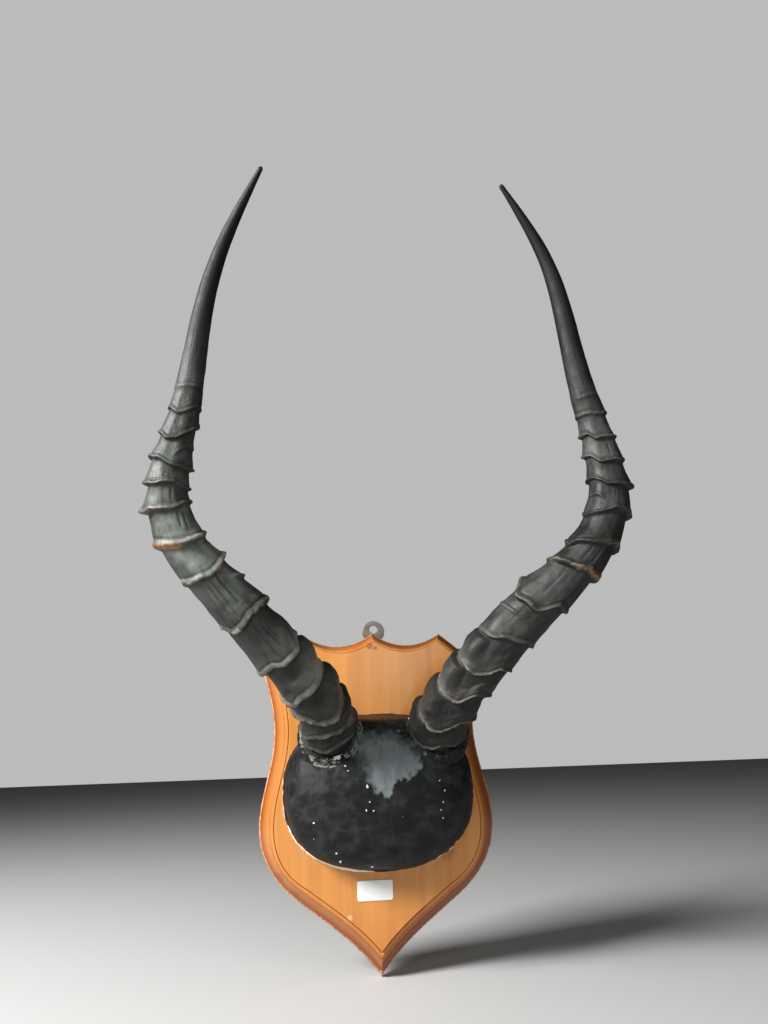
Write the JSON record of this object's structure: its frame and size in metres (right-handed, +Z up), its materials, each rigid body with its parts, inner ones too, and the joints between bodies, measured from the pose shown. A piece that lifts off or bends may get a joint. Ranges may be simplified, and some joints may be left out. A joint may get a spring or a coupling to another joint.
{
  "type": "impala horn trophy",
  "caption": "Pair of ringed, lyre-shaped impala horns in a black plaster skull cap on a moulded wooden shield plaque that hangs by a steel eye.",
  "frame": {"origin": "on the plaque's flat back, on its centre line, at half its height", "axes": "+Z up along the plaque, +X to the viewer's right, +Y into the wall that the back lies on"},
  "size_m": [0.4098, 0.2403, 0.6594],
  "materials": {
    "plaque_wood": "satin",
    "painted_plaster": "gloss",
    "horn": "satin",
    "hanger_steel": "satin",
    "screw_steel": "satin",
    "label_paper": "matte"
  },
  "bodies": {
    "root": {"plaque": "plaque_wood", "skull_cap": "painted_plaster", "horn_left": "horn", "horn_right": "horn", "hanger_plate": "hanger_steel", "hanger_screw_1": "screw_steel", "hanger_screw_2": "screw_steel", "mounting_screw_1": "screw_steel", "mounting_screw_2": "screw_steel", "mounting_screw_3": "screw_steel", "lot_label": "label_paper"}
  },
  "joints": []
}
